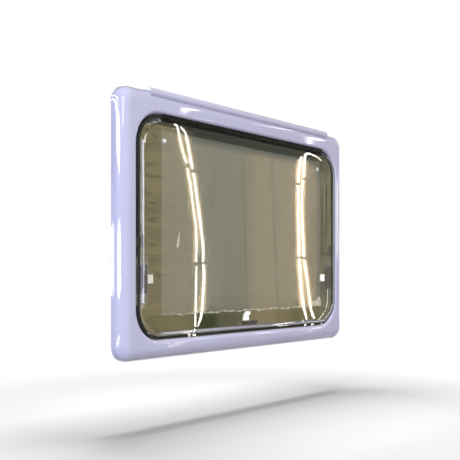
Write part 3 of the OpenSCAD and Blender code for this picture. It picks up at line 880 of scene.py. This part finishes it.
def backing_material():
    """Olive cloth with soft upright folds, with painted shade at its top and darker at its foot.
    """
    g = Graph("backing")
    x, _, z = g.axes()
    folds = g.noise(4.0, detail=2.0, stretch=(2.2, 1, 0.12))
    cloth = g.blend(g.ranged(folds, 0, 1, start=0.40, end=0.60), CLOTH_OLIVE, CLOTH_FOLD)
    # It is warmer on the right, and cooler a little left of the middle
    cloth = g.blend(g.ranged(x, 0, 1, start=0.06, end=0.12), cloth, CLOTH_WARM)
    cool_from = g.ranged(x, 0, 1, start=-0.17, end=-0.13)
    cool_to = g.ranged(x, 1, 0, start=-0.01, end=0.05)
    cloth = g.blend(g.math("MULTIPLY", cool_from, cool_to), cloth, CLOTH_COOL)
    for middle, lean in SEAMS:
        aside = g.math("MULTIPLY", g.math("SUBTRACT", z, SEAM_Z), lean)
        away = g.math("ABSOLUTE", g.math("ADD", g.math("SUBTRACT", x, middle), aside))
        cloth = g.blend(g.ranged(away, 0.30, 0, start=0.002, end=0.010), cloth, CLOTH_SEAM)
    lines = g.noise(16.0, detail=2.0, stretch=(2.4, 1, 0.05))
    cloth = g.blend(g.ranged(lines, 0, 0.35, start=0.60, end=0.72), cloth, CLOTH_LINE)
    # Slanted creases at the left end: thin ridges, and duller places between them
    slant = (0, math.radians(-18), 0)
    creases = g.noise(22.0, detail=2.0, stretch=(0.25, 1, 1.6), turn=slant)
    at_left = g.ranged(x, 1, 0, start=-0.30, end=-0.20)
    from_ridge = g.math("ABSOLUTE", g.math("SUBTRACT", creases, 0.5))
    ridge = g.ranged(from_ridge, 0.75, 0, start=0.004, end=0.03)
    cloth = g.blend(g.math("MULTIPLY", ridge, at_left), cloth, CLOTH_RIDGE)
    dull = g.ranged(creases, 0, 0.45, start=0.5, end=0.7)
    cloth = g.blend(g.math("MULTIPLY", dull, at_left), cloth, CLOTH_CREASE)
    # Painted shade on the top, apart from its left end
    high = g.ranged(z, 0, 1, start=0.500, end=0.522)
    off_left = g.ranged(x, 0, 1, start=-0.22, end=-0.14)
    cloth = g.blend(g.math("MULTIPLY", high, off_left), cloth, CLOTH_TOP_SHADE)
    # At the foot some folds are darker than others
    slats = g.noise(9.0, detail=1.0, stretch=(2.0, 1, 0.05))
    dark_from = g.ranged(x, 0, 1, start=-0.15, end=-0.12)
    dark_to = g.ranged(x, 1, 0.45, start=-0.07, end=-0.04)
    fainter = g.ranged(x, 1, 0.12, start=0.07, end=0.09)
    dark = g.math("MULTIPLY", g.math("MULTIPLY", dark_from, dark_to), fainter)
    at_right = g.ranged(x, 0, 0.45, start=0.21, end=0.25)
    slatted = g.math("MULTIPLY", at_right, g.ranged(slats, 0.3, 1, start=0.4, end=0.6))
    low = g.ranged(z, 1, 0, start=0.075, end=0.110)
    foot = g.math("MULTIPLY", low, g.math("ADD", dark, slatted))
    cloth = g.blend(foot, cloth, CLOTH_FOOT)
    # The cloth glows with these colours instead of being lit, so its light and shade are painted
    g.tree.nodes.remove(g.shader)
    glow = g.tree.nodes.new("ShaderNodeEmission")
    g.link(cloth, glow.inputs["Color"])
    g.link(glow.outputs["Emission"], g.tree.nodes["Material Output"].inputs["Surface"])
    return g.material


def add_floor():
    corners = level_card(-FLOOR_REACH, FLOOR_REACH, -FLOOR_REACH, FLOOR_REACH, 0)
    floor = make_object("floor", corners, [(0, 1, 2, 3)], floor_material(), smooth=False)
    floor.location = (0, 0, FLOOR_Z)
    floor.visible_diffuse = False
    return floor


def add_cards():
    """What lies behind the clear sheets, and what glossy surfaces mirror."""
    behind = upright_card(-0.44, 0.44, 0.035, 0.035, 0.0, 0.58)
    add_flag("backing", behind, backing_material(), glossy=True, transmission=True)
    # A dark card there keeps stray light off the reveal
    add_flag("blackout", behind, emission_material("blackout", NEAR_BLACK), diffuse=True)
    # A dark ceiling, a dark camera side and a grey wall on the right
    near_floor = FLOOR_Z + 0.01
    for name, corners, colour, in_glass in (
        ("ceiling", level_card(-5, 5, -5, 2.5, CARD_TOP), NEAR_BLACK, True),
        ("dark_floor", level_card(-3.5, 4.4, -4.5, -0.12, near_floor), DARK_GREEN, True),
        ("dark_top", upright_card(-5, 5, 2.5, 2.5, 0.75, CARD_TOP), NEAR_BLACK, False),
        ("dark_side", upright_card(-4.5, 0.6, -3.9, -3.9, CARD_FOOT, CARD_TOP), DARK_GREY, True),
        ("dark_left", upright_card(-4.5, -4.5, -1.7, -3.9, CARD_FOOT, CARD_TOP), DARK_GREY, True),
        ("grey_side", upright_card(0.6, 4.4, -3.9, -1.4, CARD_FOOT, CARD_TOP), GREY, True),
    ):
        material = emission_material(name, colour)
        add_flag(name, corners, material, glossy=True, transmission=in_glass)


def add_doorway(mirrors):
    """A bright doorway on the left, as the pane's left shoulder mirrors it."""
    corners = upright_card(-4.4, -4.4, -1.45, -2.6, CARD_FOOT, 2.4)
    material = emission_material("doorway", DOORWAY_BLUE, strength=16)
    doorway = add_flag("doorway", corners, material, glossy=True)
    doorway.light_linking.receiver_collection = linked("doorway_lights", mirrors)


def add_soft_lamps(floor):
    """Lamps that light the window, which are returned, and one that lights the floor."""
    lamps = [
        add_lamp("key", (-2.8, -3.3, 2.6), WINDOW_MIDDLE, size=2.8, radiance=6.5, glossy=True),
        add_lamp(
            "left_soft",
            (-2.6, -0.45, 0.4),
            (-0.45, 0, 0.3),
            size=1.3,
            radiance=4.6,
            colour=(0.44, 0.58, 1.0),
        ),
        add_lamp("top", (0.0, -0.4, 2.6), WINDOW_MIDDLE, size=1.2, radiance=2.6),
    ]
    for lamp in lamps:
        others = linked(lamp.name + "_lights", [floor], without=True)
        lamp.light_linking.receiver_collection = others
    add_lamp("over_floor", (0, 0.04, 1.35), (0, 0.04, 0), size=0.7, radiance=27.0, only=[floor])
    return lamps


def add_small_lamps(outside):
    """A low lamp for the outside of the frame, and one for each lever."""
    low_front = add_lamp(
        "low_front",
        (0.40, -1.1, 0.03),
        (0.25, 0, 0.15),
        size=1.4,
        size_y=0.3,
        radiance=1.0,
        only=outside,
    )
    low_front.visible_transmission = False
    lamps = [low_front]
    for side, radiance in LEVER_LIGHTS.items():
        lamp = add_lamp(
            side + "_lever_light",
            (-1.2, -2.2, 0.35),
            (0, 0, 0.2),
            size=0.8,
            radiance=radiance,
            colour=(0.78, 0.83, 1.0),
            only=[nodes[f"latch_{side}_lever"]],
        )
        lamps.append(lamp)
    return lamps


# The window

add_camera()
add_world()
floor = add_floor()
add_cards()
lamps = add_soft_lamps(floor)

finishes = {name: moulded(name, **values) for name, values in MOULDED.items()}
finishes |= {name: acrylic(name, tint) for name, tint in ACRYLICS.items()}
for name in nodes:
    for key, finish in NODE_FINISHES.items():
        if key in name:
            nodes[name].data.materials.clear()
            nodes[name].data.materials.append(finishes[finish])
            break

pane = add_pane(finishes["outer_acrylic"], finishes["black_bond"])
sheets = [pane, add_film(film_material()), add_film_edges(film_edge_material())]
window_frame = nodes["outer_frame"]

pane_mirror, frame_mirror = Mirror(pane), Mirror(window_frame)
for name, values in PANE_STRIPS.items():
    add_strips(name, pane_mirror, only=sheets, **values)
for name, values in FRAME_STRIPS.items():
    add_strips(name, frame_mirror, only=[window_frame], **values)
add_doorway(sheets)
lamps += add_small_lamps([window_frame, nodes["rain_gutter"]])
# The clear sheets let the lamps through to what is behind them
clear = linked("clear_sheets", sheets + [nodes["inner_pane"]], without=True)
for lamp in lamps:
    lamp.light_linking.blocker_collection = clear

bpy.context.scene.view_settings.view_transform = "Standard"
